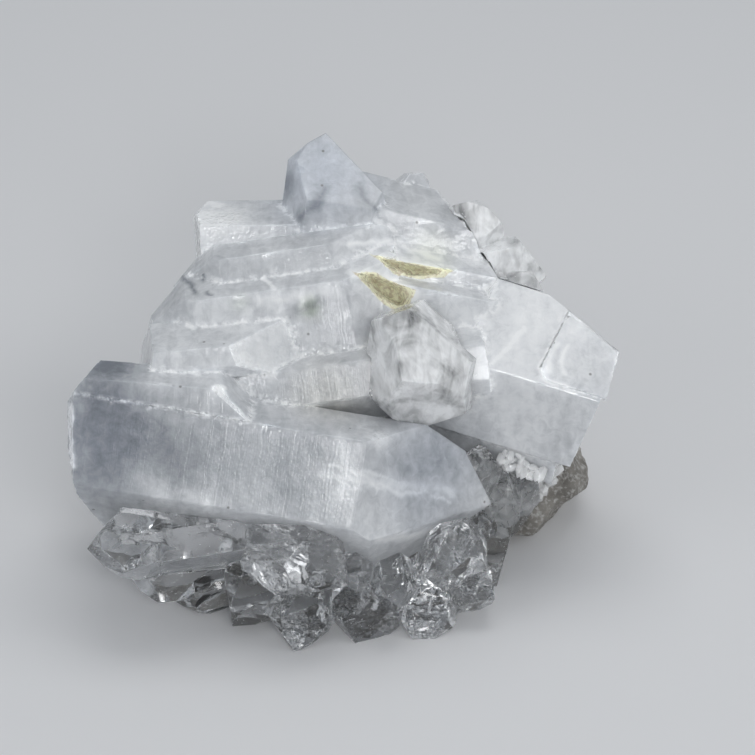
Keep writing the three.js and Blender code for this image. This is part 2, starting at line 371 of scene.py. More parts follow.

# %% [markdown]
# ## Marks that are drawn
# A growth step, a healed crack, a white veil or a painted highlight, such as a lit rim or a glint,
# has a place of its own on this one specimen. Each is a line or an outline drawn on the display
# face, and it marks the skin where it falls, seen along the display direction. Numbers painted on
# a fine enough skin are a surer way than node formulas, and they stay put when the part is turned.

# %% Where the eye sees a point
SEEN_FROM = DISTANCE / MM
SEEN_MIDDLE = np.array(PICTURE_MIDDLE)


def as_seen(points):
    """Where points fall on the display face for the eye, and how far out they lie, in millimetres."""
    reach = (points - np.array(DISPLAY_CENTRE)) / MM
    out = reach @ np.array(OUT)
    place = np.stack([reach @ np.array(ACROSS), reach @ np.array(UP)], axis=1)
    return SEEN_MIDDLE + (place - SEEN_MIDDLE) * (SEEN_FROM / (SEEN_FROM - out))[:, None], out


def gap_to_line(seen, line):
    """Distance from each seen place to a line of points, in millimetres."""
    nearest = np.full(len(seen), np.inf)
    for start, end in zip(np.array(line[:-1]), np.array(line[1:])):
        run = end - start
        share = np.clip((seen - start) @ run / (run @ run), 0, 1)
        nearest = np.minimum(nearest, length_of(seen - start - share[:, None] * run))
    return nearest


def inside_outline(seen, outline):
    """True for the places inside a closed outline."""
    within = np.zeros(len(seen), bool)
    for (x0, y0), (x1, y1) in zip(outline, outline[1:] + outline[:1]):
        crosses = (y0 > seen[:, 1]) != (y1 > seen[:, 1])
        reach = x0 + (seen[:, 1] - y0) * (x1 - x0) / ((y1 - y0) or 1e-9)
        within ^= crosses & (seen[:, 0] < reach)
    return within


# %% Marks on the display face
# light lines and bands, mostly white veils, streaks and growth lines, some of them painted highlights:
# how strong, half width, range of depth, then the line itself
WHITE_MARKS_AND_PAINTED_HIGHLIGHTS = [
    # a painted highlight: the lit left rim of the great prism
    (1.0, 1.5, (12, 40), [(-68.8, -2.0), (-69.2, -9.0), (-68.2, -16.5)]),
    (0.50, 1.1, (12, 40), [(-3.8, -16.2), (1.7, -17.5), (5.0, -19.0), (8.2, -22.0)]),
    (0.42, 1.5, (12, 40), [
        (-5.8, -18.6), (0.0, -19.2), (3.7, -20.6), (9.0, -21.0), (13.7, -23.4), (19.0, -23.0),
    ]),
    (0.34, 1.0, (12, 40), [(4.0, -17.8), (8.5, -18.6), (12.0, -20.4), (17.5, -21.6), (26.2, -25.6)]),
    (0.30, 3.6, (12, 40), [(-5.8, -18.2), (3.7, -20.0), (13.7, -21.4), (26.2, -22.6)]),
    (0.45, 1.6, (12, 40), [(8.7, -35.0), (16.2, -34.0), (27.5, -30.8)]),
    (0.30, 5.0, (12, 40), [(-1.0, -12.0), (0.6, -17.0), (-1.2, -24.0)]),
    (0.25, 5.0, (12, 40), [(-51.2, -19.0), (-47.0, -22.5)]),
    (0.25, 4.0, (12, 40), [(-39.0, -23.6), (-34.0, -25.8)]),
    (0.60, 1.0, (8, 40), [(51.5, 12.7), (48.7, 8.5), (49.5, 5.5), (52.8, 4.0), (57.5, 2.0)]),
    (0.50, 1.3, (8, 40), [(53.0, 14.0), (51.3, 10.0), (51.0, 7.4)]),
    (0.45, 1.0, (8, 40), [(55.6, 13.6), (54.4, 9.6), (55.0, 6.4)]),
    (0.40, 1.0, (8, 40), [(45.0, 18.0), (39.5, 12.0), (36.5, 9.0)]),
    (0.45, 1.2, (-5, 30), [(1.2, 38.8), (12.5, 40.0), (16.2, 37.5), (23.7, 35.5)]),
    (0.50, 2.2, (-5, 30), [(2.0, 31.7), (8.5, 31.4), (17.9, 27.0), (17.0, 23.5)]),
    (0.35, 2.4, (-5, 30), [(7.0, 36.0), (20.0, 33.5), (27.5, 31.5)]),
    (0.30, 2.6, (5, 30), [(-21.0, 24.5), (-5.0, 27.0)]),
    # painted glints: two small sparkles, then the white triangle at a corner of the great prism's upper
    # step
    (0.80, 0.8, (5, 40), [(-39.6, 18.6), (-38.0, 17.9)]),
    (0.80, 0.8, (5, 40), [(-20.4, 30.4), (-18.6, 29.0), (-17.6, 27.6)]),
    (0.90, 1.0, (8, 40), [(-32.6, 3.4), (-30.4, 2.8), (-31.0, 1.5), (-32.6, 3.4)]),
    (0.60, 1.0, (-20, 30), [(-43.0, 47.0), (-36.0, 49.5), (-30.5, 49.0)]),
    (0.60, 0.9, (-20, 30), [(-41.0, 43.5), (-37.5, 45.5), (-34.5, 44.0)]),
    (0.50, 0.8, (-20, 30), [(-35.0, 47.0), (-31.5, 44.5)]),
]
# dark lines and spots, in the same form
DARK_MARKS = [
    (0.40, 2.6, (-20, 20), [(-5.0, 52.5), (-8.0, 48.5), (-11.2, 46.0)]),
    (0.30, 1.8, (-20, 20), [(3.5, 53.0), (6.0, 49.0), (9.0, 47.0)]),
    (0.50, 1.2, (0, 30), [(-40.5, 30.4), (-38.3, 28.6), (-37.6, 26.6)]),
    (0.50, 0.8, (0, 30), [(-34.3, 27.0), (-33.6, 26.6)]),
    (0.70, 1.0, (0, 30), [(-27.7, -2.9), (-27.0, -3.6)]),
    (0.60, 0.9, (0, 30), [(-35.5, 31.0), (-35.4, 30.0)]),
    (0.30, 3.4, (-10, 30), [(-12.0, 22.5), (-6.0, 24.5)]),
]
# iron stains: range of depth, then the outline
STAINS = [
    ((-10, 30), [
        (1.9, 32.0), (8.0, 31.8), (11.2, 29.8), (17.8, 27.5),
        (16.0, 23.0), (13.2, 22.5), (9.8, 23.7), (7.0, 26.8),
    ]),
    ((-10, 30), [
        (6.0, 36.5), (15.0, 34.5), (27.2, 32.3), (24.7, 30.5), (17.7, 30.4), (12.2, 31.4), (9.7, 34.0),
    ]),
]
print(len(WHITE_MARKS_AND_PAINTED_HIGHLIGHTS), "light marks,", len(DARK_MARKS), "dark ones and", len(STAINS), "stains")

# %% How strongly a mark covers a point
LINE_WANDER, STAIN_WANDER, STAIN_EDGE = 0.45, 0.25, 0.8
WIDEST_FINE, BARELY_SEEN = 1.6, 0.02


def wandering(points, size, seeds):
    """Two noises that bend a drawn line a little to and fro."""
    return np.stack([cloud(points, size, seed, 2) for seed in seeds], axis=1)


def line_strength(points, marks):
    """From 0 to 1 for each point: how strongly the nearest of these marks covers it."""
    seen, out = as_seen(points)
    seen = seen + LINE_WANDER * wandering(points, 2.2 * MM, (81, 82))
    total = np.zeros(len(points))
    for strength, half_width, (low, high), line in marks:
        near = np.clip(1 - gap_to_line(seen, line) / half_width, 0, 1)
        total = np.maximum(total, strength * near**1.5 * ((out > low) & (out < high)))
    return total


def stain_strength(points):
    """From 0 to 1 for each point: how much iron stained it."""
    seen, out = as_seen(points)
    seen = seen + STAIN_WANDER * wandering(points, 1.6 * MM, (83, 84))
    total = np.zeros(len(points))
    for (low, high), outline in STAINS:
        gap = gap_to_line(seen, outline + outline[:1])
        depth = np.where(inside_outline(seen, outline), gap, -gap)
        inside = np.clip(0.5 + depth / STAIN_EDGE, 0, 1)
        total = np.maximum(total, inside * ((out > low) & (out < high)))
    return total


def drawn_on(points):
    """True where the skin must be fine enough to carry a mark."""
    marks = [
        (1, min(half_width, WIDEST_FINE), depths, line)
        for _, half_width, depths, line in WHITE_MARKS_AND_PAINTED_HIGHLIGHTS + DARK_MARKS
    ]
    return np.maximum(line_strength(points, marks), stain_strength(points)) > BARELY_SEEN


# %% [markdown]
# ## Relief
# Every kind of face has its own relief. Prism faces have low steps across the crystal's axis, tip
# faces have gentle swells, and a break is shelly and rough. The height is worked out for all points
# at once, and each point then moves along its own normal. In each cloud below, the number before it
# is its height in millimetres, and the one inside it is the size of its lumps.

# %% Heights for each kind of face
CHIP_DEPTH, CHIP_REACH = 1.4, 1.4 * MM


def across_axis(places, axes, squeeze):
    """Places squeezed sideways, so that noise over them makes lines across each crystal's axis."""
    along = np.sum(places * axes, axis=1, keepdims=True) * axes
    return along + squeeze * (places - along)


def broken_share(places, kinds):
    """From 0 to 1: how much of the surface is a rough break rather than a grown face."""
    return np.maximum((kinds == BREAK) * (1 - covered(places, HEALED)), covered(places, FROSTED))


def relief(places, kinds, axes, edge_gap):
    """Height in metres of the skin over the flat faces."""
    lines = across_axis(places, axes, 0.05)
    steps = 0.030 * cloud(lines, 2.4 * MM, 3, 2) + 0.05 * np.tanh(3 * cloud(lines, 9 * MM, 5))
    swells = 0.05 * cloud(places, 7 * MM, 11) + 0.02 * cloud(places, 2.5 * MM, 12)
    smooth = np.where(kinds == PRISM, steps + 0.5 * swells, swells)
    shells = np.abs(cloud(places, 3.4 * MM, 21, 3))
    shelly = 0.12 * cloud(places, 0.9 * MM, 31) - 0.55 * shells
    broken = broken_share(places, kinds)
    height = smooth + broken * (shelly - smooth)
    flakes = np.clip(cloud(places, 2.6 * MM, 41, 2) - 0.50 + 0.35 * broken, 0, 1)
    chips = flakes * np.clip(1 - edge_gap / CHIP_REACH, 0, 1)
    return (height - CHIP_DEPTH * chips) * MM


# %% [markdown]
# ## Flaws inside the glass
# Light flashes inside a quartz point where a crack opened and healed again: a thin, rippled, empty
# sheet that mirrors everything at a shallow angle. Each is a closed lens of two sheets that share a
# ragged rim, with its faces turned towards the empty side. A tree of the crystal's own skin tells
# whether a lens would come too near the surface, and then it is made smaller.

# %% Thin rippled hollows
RINGS, SPOKES = 6, 18
NO_POINTS, NO_TRIANGLES = np.zeros((0, 3)), np.zeros((0, 3), int)


def lens_triangles():
    """The corners' numbers for one lens: middle and inner rings above, then below, then the rim."""
    side = 1 + (RINGS - 1) * SPOKES
    triangles = []
    for base, flip in ((0, 1), (side, -1)):
        for k in range(SPOKES):
            turn = (k + 1) % SPOKES
            triangles.append([base, base + 1 + k, base + 1 + turn][::-flip])
            for ring in range(1, RINGS):
                inner = base + 1 + (ring - 1) * SPOKES
                outer = inner + SPOKES if ring < RINGS - 1 else 2 * side
                triangles.append([inner + k, outer + k, outer + turn][::-flip])
                triangles.append([inner + k, outer + turn, inner + turn][::-flip])
    return np.array(triangles)


def lens_points(centre, facing, reach, thick, seed):
    """The corners of one rippled lens, in the order that its triangles count them."""
    first = np.array(Vector(facing).orthogonal().normalized())
    second = np.cross(facing, first)
    turns = 2 * math.pi * np.arange(SPOKES) / SPOKES
    spokes = np.cos(turns)[:, None] * first + np.sin(turns)[:, None] * second
    ragged = 1 + 0.35 * cloud(spokes * 7, 4.0, seed)
    ring_shares = np.arange(1, RINGS + 1) / RINGS
    rings = [centre + share * reach * ragged[:, None] * spokes for share in ring_shares]
    flat = np.concatenate([[centre], *rings])
    shares = np.concatenate([[0], np.repeat(ring_shares, SPOKES)])
    bend = 0.22 * reach * cloud(flat, 1.3 * reach, seed)
    ripple = 0.12 * MM * cloud(flat, 1.6 * MM, seed + 7, 2)
    middle = flat + (bend + ripple)[:, None] * facing
    half = (thick * (1 - shares**2))[:, None] * facing
    inner = slice(0, 1 + (RINGS - 1) * SPOKES)
    rim = slice(inner.stop, None)
    return np.concatenate([(middle + half)[inner], (middle - half)[inner], middle[rim]])


print("one hollow has", len(lens_triangles()), "triangles")

# %% Place the hollows
SKIN_MARGIN = 0.35 * MM
THINNEST_CRYSTAL = 2.5 * MM
TRIES_PER_FLAW = 40
# the range that each hollow's first reach and half its thickness are drawn from, in millimetres
FIRST_REACH, HALF_THICKNESS = (2.0, 7.0), (0.04, 0.10)
SHORTEST_REACH, SHRINK = 1.1 * MM, 0.7
# how far from one side of the crystal to the other its middle may lie
ACROSS_CRYSTAL = (0.25, 0.7)


def fits(lens, skin, others):
    """True where a lens is buried in the skin and clear of the other lenses."""
    hits = [skin.find_nearest(Vector(corner)) for corner in lens]
    buried = all(
        hit[3] > SKIN_MARGIN and (hit[0] - Vector(corner)).dot(hit[1]) > 0
        for hit, corner in zip(hits, lens)
    )
    apart = all(length_of(lens[:, None] - other[None, ::4]).min() > SKIN_MARGIN for other in others)
    return buried and apart


def inner_flaws(points, triangles, count, seed):
    """Hollow lenses at random places inside a closed skin, none near it or near another."""
    draw = np.random.default_rng(seed)
    skin = BVHTree.FromPolygons([tuple(point) for point in points], triangles.tolist())
    pattern = lens_triangles()
    made, tries = [], 0
    while len(made) < count and tries < TRIES_PER_FLAW * count:
        tries += 1
        corner = Vector(points[triangles[draw.integers(len(triangles))]].mean(axis=0))
        inward = -skin.find_nearest(corner)[1]
        far = skin.ray_cast(corner + inward * 0.1 * MM, inward)[0]
        if far is None or (far - corner).length < THINNEST_CRYSTAL:
            continue
        centre = np.array(corner.lerp(far, draw.uniform(*ACROSS_CRYSTAL)))
        facing = draw.normal(size=3)
        facing /= length_of(facing)
        reach = draw.uniform(*FIRST_REACH) * MM
        while reach > SHORTEST_REACH:
            half_thickness = draw.uniform(*HALF_THICKNESS) * MM
            lens = lens_points(centre, facing, reach, half_thickness, tries)
            if fits(lens, skin, made):
                made.append(lens)
                break
            reach *= SHRINK
    if not made:
        return NO_POINTS, NO_TRIANGLES
    patterns = [pattern + order * len(made[0]) for order in range(len(made))]
    return np.concatenate(made), np.concatenate(patterns)


# %% [markdown]
# ## The milky mass
# All the milky prisms are one piece, so the frame's single solid gets one skin. What the material
# can't know by itself is painted on the points as numbers: the distance along each crystal's axis,
# where the surface is broken, where iron stained it, and where the crystal is clearer.

# %% Numbers painted on the points
def paint(mesh, name, values):
    """Keeps one number for each point of a mesh, for its material to read."""
    layer = mesh.attributes.new(name, "FLOAT", "POINT")
    layer.data.foreach_set("value", np.ascontiguousarray(values, dtype=np.float32))


def paint_colour(mesh, name, colours):
    layer = mesh.attributes.new(name, "FLOAT_COLOR", "POINT")
    rows = np.concatenate([colours, np.ones((len(colours), 1))], axis=1)
    layer.data.foreach_set("color", np.ascontiguousarray(rows, dtype=np.float32).ravel())


# how much milk there is: each soft spot, then more than usual in white places or less in clear ones
MILK_CHANGES = [
    ((-58, -10, 24, 26), -0.56), ((-34, -12, 24, 24), -0.36), ((-8, -14, 24, 24), -0.18),
    ((24, -18, 24, 26), -0.18), ((-6, 56, -4, 24), -0.14), ((-56, 18, 4, 12), -0.35),
    # the next spot, on top of the great prism's upper step, is clearer quartz and also a painted dark
    # reflection
    ((-57, 4.5, 22, 14), -0.8), ((-15, 54, -6, 7), -0.4),
    ((48, 10, 14, 38), 0.20), ((-36, 47, 2, 14), 0.35), ((28, 40, 0, 22), 0.04),
    ((-52, -2, 27, 10), -0.2),
]
# tints, as multiples of white: each soft spot, then bluish tips, beige middle or green inclusions
TINTS = [
    ((26, -18, 26, 24), (0.94, 0.97, 1.03)), ((-6, 56, -4, 22), (0.93, 0.97, 1.04)),
    ((-4, 1, 19, 15), (1.03, 1.0, 0.93)), ((10, 10, 17, 10), (1.01, 1.0, 0.94)),
    ((-8.4, 22.7, 16, 4.5), (0.74, 0.80, 0.66)), ((-25.6, 23.9, 15, 4), (0.82, 0.86, 0.78)),
    ((22, 37, 4, 9), (0.98, 0.99, 0.90)), ((-58, -8, 26, 20), (0.97, 0.98, 1.03)),
]
SEAM_WIDTH = 0.8 * MM


def paint_look(mesh, points, kind_at, seams, facing):
    """What the finish can't work out by itself: breaks, seams, stains, marks, milk and tint."""
    paint(mesh, "broken", broken_share(points, kind_at))
    paint(mesh, "seam", np.clip(1 - gaps_to(seams, points) / SEAM_WIDTH, 0, 1))
    paint(mesh, "stain", stain_strength(points))
    # white lines and veils, and painted highlights: a lit rim and glints
    paint(mesh, "light", line_strength(points, WHITE_MARKS_AND_PAINTED_HIGHLIGHTS) * facing)
    paint(mesh, "dark", line_strength(points, DARK_MARKS) * facing)
    changes = spot_strengths(points, [spot for spot, _ in MILK_CHANGES])
    paint(mesh, "milk", changes.T @ [change for _, change in MILK_CHANGES])
    tint = np.ones((len(points), 3))
    for strength, (_, colour) in zip(spot_strengths(points, [spot for spot, _ in TINTS]), TINTS):
        tint *= 1 + strength[:, None] * (np.array(colour) - 1)
    paint_colour(mesh, "tint", tint)


# %% Milky crystals
CRISP = math.radians(22)
ROOTED_GAP = 0.45 * MM
FLAW_AXIS = np.array([0.7, 0.2, 0.68])


def piece_from(points, triangles, name):
    """A new object from plain arrays, flat faces kept crisp where they meet."""
    mesh = bpy.data.meshes.new(name)
    mesh.from_pydata(points, [], triangles)
    mesh.shade_smooth()
    mesh.set_sharp_from_angle(angle=CRISP)
    return new_object(name, mesh)


def rooted_faces(solid, node):
    """1 for each whole face that lies against the milky mass, else 0."""
    if node == "milky_crystals":
        return np.zeros(len(solid.faces))
    mass = whole_faces("milky_crystals")
    skin = BVHTree.FromBMesh(mass)
    mass.free()
    gaps = [skin.find_nearest(face.calc_center_median())[3] for face in solid.faces]
    return np.array([gap < ROOTED_GAP for gap in gaps], dtype=float)


def grown_piece(node, name, bevel, coarse, rough, fine, band, depth=1.0, flaws=0, seed=1):
    """One node's crystals with worn edges, relief and inner flaws."""
    solid = whole_faces(node)
    kinds, directions = read_faces(solid)
    rooted = rooted_faces(solid, node)
    tree, seams = edge_samples(solid), edge_samples(solid, convex=False)
    bmesh.ops.bevel(
        solid, geom=sharp_edges(solid), offset=bevel, segments=1, affect="EDGES", clamp_overlap=False
    )
    reaches = np.where(kinds == BREAK, rough, coarse)
    points, triangles, facets, gaps = refine(*arrays_of(solid), tree, reaches, fine, band)
    solid.free()
    facet_at = np.zeros(len(points), int)
    facet_at[triangles.ravel()] = np.repeat(facets, 3)
    kind_at, axis_at = kinds[facet_at], directions[facet_at]
    heights = relief(points, kind_at, axis_at, gaps) * depth
    normals = normals_of(points, triangles)
    moved = points + normals * heights[:, None]
    moved[:, 2] = np.maximum(moved[:, 2], 0)
    facing = np.clip(4 * (normals @ np.array(OUT)), 0, 1)
    flaw_points, flaw_triangles = inner_flaws(moved, triangles, flaws, seed)
    triangles = np.concatenate([triangles, flaw_triangles + len(points)])
    moved, points = (np.concatenate([skin, flaw_points]) for skin in (moved, points))
    kind_at, axis_at, facing = (
        np.concatenate([values, np.repeat(values[:1], len(flaw_points), axis=0)])
        for values in (np.where(kind_at == BREAK, BREAK, PRISM), axis_at, facing)
    )
    piece = piece_from(moved, triangles, name)
    mesh = piece.data
    flawed = np.arange(len(points)) >= len(points) - len(flaw_points)
    along = np.sum(points * axis_at, axis=1) / MM
    paint(mesh, "along", np.where(flawed, points @ FLAW_AXIS / MM, along))
    paint(mesh, "flaw", flawed)
    paint(mesh, "root", np.concatenate([rooted[facet_at], np.zeros(len(flaw_points))]))
    paint_look(mesh, points, kind_at, seams, facing)
    print(name, "has", len(triangles), "triangles; faces of each kind:", np.bincount(kinds, minlength=3))
    return piece


milky = grown_piece(
    "milky_crystals", "milky_mass", bevel=0.2 * MM, coarse=2.8 * MM, rough=1.2 * MM, fine=1.7 * MM,
    band=0.3 * MM,
)

# %% [markdown]
# ## The clear points
# The clear crystals go through the same steps with a narrower bevel and shallower relief, because
# what shows in glass is mostly the bending of light at flat faces. They alone get inner hollows.

# %% Clear crystals
# how many hollows each node has room for
FLAWS = {
    "clear_crystal_centre": 26, "clear_crystals_back": 8, "clear_crystals_front": 14,
    "clear_crystals_left": 10, "clear_crystals_right": 14, "clear_crystals_upper_right": 12,
}
FIRST_SEED = 100
clear_pieces = [
    grown_piece(
        node, node.replace("crystal", "point"), bevel=0.1 * MM, coarse=3.0 * MM, rough=0.9 * MM,
        fine=1.6 * MM, band=0.2 * MM, depth=0.5, flaws=FLAWS[node], seed=FIRST_SEED + order,
    )
    for order, node in enumerate(CLEAR_NODES)
]

# %% [markdown]
# ## The vein rock
# The rock has no flat crystal faces to keep, so a voxel remesh gives it an even skin, and noise of
# several sizes gives it lumps, pits and grain. Its sawn base stays flat. A painted number says
# where quartz has whitened it, under the crust of small points that comes later.

# %% Rock
ROCK_VOXEL = 0.75 * MM
SAWN_BELOW, BASE_TOP, FREE_ABOVE = 0.3 * MM, 0.4 * MM, 0.6 * MM
CRUST_FOOT = 6 * MM
CRUST_OUTLINE = [
    (24, -6), (40, -10), (50, -14), (50.5, -19), (47, -24), (41, -27), (34, -31), (26, -28),
]


def rough_rock():
    solid = whole_faces("matrix")
    solid.verts.index_update()
    corners = [vert.co.copy() for vert in solid.verts]
    faces = [[vert.index for vert in face.verts] for face in solid.faces]
    solid.free()
    rock = piece_from(corners, faces, "rock")
    remesh = rock.modifiers.new("even skin", "REMESH")
    remesh.mode = "VOXEL"
    remesh.voxel_size = ROCK_VOXEL
    graph = bpy.context.evaluated_depsgraph_get()
    even = bpy.data.meshes.new_from_object(rock.evaluated_get(graph))
    rock.modifiers.clear()
    even.calc_loop_triangles()
    points = np.array([vert.co for vert in even.vertices])
    triangles = np.array([triangle.vertices for triangle in even.loop_triangles])
    lumps = 0.45 * cloud(points, 6 * MM, 51, 3) + 0.12 * cloud(points, 1.1 * MM, 71)
    pits = 0.5 * np.clip(cloud(points, 2.2 * MM, 61, 2) - 0.3, 0, 1)
    height = (lumps - pits) * MM
    before = points[:, 2]
    on_base = before < FREE_ABOVE
    moved = points + normals_of(points, triangles) * np.where(on_base, 0, height)[:, None]
    lowered, raised = np.minimum(before, BASE_TOP), np.maximum(moved[:, 2], BASE_TOP)
    moved[:, 2] = np.where(before < SAWN_BELOW, 0, np.where(on_base, lowered, raised))
    bpy.data.objects.remove(rock)
    rock = piece_from(moved, triangles, "rock")
    seen = as_seen(moved)[0]
    paint(rock.data, "crust", inside_outline(seen, CRUST_OUTLINE) & (moved[:, 2] > CRUST_FOOT))
    print("rock has", len(triangles), "triangles")
    return rock


rock = rough_rock()

# %% [markdown]
# ## Materials
# One small helper adds a node, sets its options and links or fills its inputs in one call. The
# others are short words for the nodes that come up again and again, so that a finish reads as a
# list of what it is made of.

# %% Node helpers
def add(tree, kind, inputs=None, **options):
    """A new node. An input that is a socket gets linked, and any other is set."""
    made = tree.nodes.new(kind)
    for name, value in options.items():
        setattr(made, name, value)
    for name, value in (inputs or {}).items():
        if isinstance(value, bpy.types.NodeSocket):
            tree.links.new(value, made.inputs[name])
        else:
            made.inputs[name].default_value = value
    return made


def new_finish(name):
    """A material with a Principled shader, ready for its pattern."""
    finish = bpy.data.materials.new(name)
    finish.use_nodes = True
    tree = finish.node_tree
    shader = tree.nodes["Principled BSDF"]
    place = add(tree, "ShaderNodeTexCoord").outputs["Object"]
    return finish, tree, shader, place


def glowing(shader, depth):
    """Lets light scatter inside, about this deep."""
    shader.subsurface_method = "BURLEY"
    shader.inputs["Subsurface Weight"].default_value = 1.0
    shader.inputs["Subsurface Radius"].default_value = (1.0, 1.0, 1.0)
    shader.inputs["Subsurface Scale"].default_value = depth


def ramp(tree, value, stops):
    """Maps a value through grey stops given as (position, brightness)."""
    made = add(tree, "ShaderNodeValToRGB", {"Fac": value})
    band = made.color_ramp
    while len(band.elements) > 1:
        band.elements.remove(band.elements[-1])
    band.elements[0].position = stops[0][0]
    band.elements[0].color = (*[stops[0][1]] * 3, 1)
    for position, grey in stops[1:]:
        band.elements.new(position).color = (*[grey] * 3, 1)
    return made.outputs["Color"]


def blend(tree, amount, first, second):
    """The first colour where the amount is 0, the second where it is 1."""
    return add(tree, "ShaderNodeMix", {0: amount, 6: first, 7: second}, data_type="RGBA").outputs[2]


def maths(tree, operation, first, second=0.0, use_clamp=False):
    options = {"operation": operation, "use_clamp": use_clamp}
    return add(tree, "ShaderNodeMath", {0: first, 1: second}, **options).outputs[0]


def number(tree, name):
    """A number that was painted on the points."""
    return add(tree, "ShaderNodeAttribute", attribute_name=name).outputs["Fac"]


def colour_of(tree, name):
    return add(tree, "ShaderNodeAttribute", attribute_name=name).outputs["Color"]


def multiply(tree, first, second):
    options = {"data_type": "RGBA", "blend_type": "MULTIPLY"}
    return add(tree, "ShaderNodeMix", {0: 1.0, 6: first, 7: second}, **options).outputs[2]


def noise(tree, place, scale, detail=3.0, roughness=0.55, distortion=0.0):
    inputs = {"Vector": place, "Scale": scale, "Detail": detail}
    inputs |= {"Roughness": roughness, "Distortion": distortion}
    return add(tree, "ShaderNodeTexNoise", inputs).outputs["Fac"]


def along_noise(tree, along, scale, detail=2.0):
    """Noise that changes only along the crystal's axis, so it makes growth lines."""
    inputs = {"W": along, "Scale": scale, "Detail": detail}
    return add(tree, "ShaderNodeTexNoise", inputs, noise_dimensions="1D").outputs["Fac"]


def stretched(tree, place, turn, scale):
    """Coordinates turned and squeezed, so that noise over them makes sheets or streaks."""
    inputs = {"Vector": place, "Rotation": turn, "Scale": scale}
    return add(tree, "ShaderNodeMapping", inputs).outputs["Vector"]


def bump(tree, height, distance, strength=1.0, under=None):
    """A bump over the plain surface, or over another bump."""
    inputs = {"Height": height, "Distance": distance, "Strength": strength}
    if under is not None:
        inputs["Normal"] = under
    return add(tree, "ShaderNodeBump", inputs).outputs["Normal"]


# %% [markdown]
# ## Milky quartz
# Milk in quartz is countless tiny bubbles, so light goes in, scatters for some millimetres and
# comes out again. Subsurface scattering gives that glow, and a share of plain transmission gives
# the clearer places their depth. Clouds, flat veils and small feathers of noise vary the milk, and
# the numbers painted on the skin say where it thins out, where iron sat, where white veils and
# dark cracks run, and where painted highlights and glints stand in for light. One of the thin
# places, on top of the great prism's upper step, is also a painted dark reflection.

# %% Where the milk is
QUARTZ_IOR = 1.544
MEAN_MILK = 0.62


def weighted_sum(tree, parts):
    """Adds up values, each times its own weight."""
    total = 0.0
    for value, weight in parts:
        scaled = maths(tree, "MULTIPLY", maths(tree, "SUBTRACT", value, 0.5), weight)
        total = maths(tree, "ADD", scaled, total)
    return total


def milk_amount(tree, place):
    """How milky each place is, from 0 to 1, with painted highlights and glints added in."""
    sheets = noise(tree, stretched(tree, place, (0.5, 0.4, 0.9), (1.0, 0.22, 0.3)), 300, 4, 0.55, 0.4)
    clouds = noise(tree, place, 45, 3, 0.5, 0.6)
    feathers = noise(tree, place, 380, 7, 0.62, 0.6)
    milk = weighted_sum(tree, [(clouds, 0.45), (sheets, 0.30), (feathers, 0.50)])
    milk = maths(tree, "ADD", milk, maths(tree, "ADD", number(tree, "milk"), MEAN_MILK))
    dotted = ramp(tree, noise(tree, place, 600, 3), [(0.42, 0), (0.6, 1)])
    seam = maths(tree, "MULTIPLY", number(tree, "seam"), dotted)
    # the light marks whiten the milk: white veils and lines, and painted highlights and glints
    marks = [("broken", 0.25), ("light", 0.8), ("dark", -0.9)]
    marks = [(number(tree, name), weight) for name, weight in marks]
    for value, weight in [(seam, 0.5), *marks]:
        milk = maths(tree, "ADD", milk, maths(tree, "MULTIPLY", value, weight))
    return maths(tree, "ADD", milk, 0.0, use_clamp=True)


# %% Milky finish
CLEAR_GREY, MILK_WHITE = (0.33, 0.36, 0.41, 1), (0.97, 0.975, 0.98, 1)
STAIN_YELLOW, STAIN_BROWN = (0.98, 0.96, 0.66, 1), (0.62, 0.52, 0.32, 1)
SPECK_GREY = (0.16, 0.16, 0.15, 1)


def stained(tree, place, base):
    """Yellow-green iron stain with brown bits over the base colour."""
    patchy = maths(tree, "MULTIPLY", maths(tree, "SUBTRACT", noise(tree, place, 500, 4), 0.5), 0.9)
    cover = ramp(tree, maths(tree, "ADD", number(tree, "stain"), patchy), [(0.35, 0), (0.7, 0.72)])
    bits = ramp(tree, noise(tree, place, 700, 4), [(0.48, 0), (0.58, 1)])
    rust = blend(tree, bits, STAIN_YELLOW, STAIN_BROWN)
    return blend(tree, cover, base, rust)


def milky_finish():
    finish, tree, shader, place = new_finish("milky quartz")
    milk = milk_amount(tree, place)
    base = blend(tree, milk, CLEAR_GREY, MILK_WHITE)
    base = multiply(tree, base, colour_of(tree, "tint"))
    base = stained(tree, place, base)
    specks = add(tree, "ShaderNodeTexVoronoi", {"Vector": place, "Scale": 120.0}).outputs["Distance"]
    base = blend(tree, ramp(tree, specks, [(0.03, 0.75), (0.06, 0)]), base, SPECK_GREY)
    tree.links.new(base, shader.inputs["Base Color"])
    shader.inputs["IOR"].default_value = QUARTZ_IOR
    glowing(shader, 5 * MM)
    see_through = ramp(tree, milk, [(0.05, 0.55), (0.75, 0.06)])
    tree.links.new(see_through, shader.inputs["Transmission Weight"])
    rough = ramp(tree, noise(tree, place, 300, 4), [(0.3, 0.02), (0.7, 0.14)])
    rough = maths(tree, "ADD", rough, maths(tree, "MULTIPLY", number(tree, "broken"), 0.06))
    tree.links.new(rough, shader.inputs["Roughness"])
    wobble = maths(tree, "MULTIPLY", noise(tree, place, 200, 2), 1.4)
    along = maths(tree, "ADD", number(tree, "along"), wobble)
    growth = bump(tree, along_noise(tree, along, 2.2, 3.0), 0.06 * MM, 0.4)
    scales = add(tree, "ShaderNodeTexVoronoi", {"Vector": place, "Scale": 1100.0}).outputs["Distance"]
    at_seams = maths(tree, "MULTIPLY", number(tree, "seam"), 0.8)
    rugged = maths(tree, "ADD", number(tree, "broken"), at_seams)
    scales = maths(tree, "MULTIPLY", scales, maths(tree, "ADD", rugged, 0.05))
    chips = bump(tree, scales, 0.35 * MM, under=growth)
    grain = bump(tree, noise(tree, place, 1500, 3), 0.03 * MM, 0.5, under=chips)
    tree.links.new(grain, shader.inputs["Normal"])
    return finish


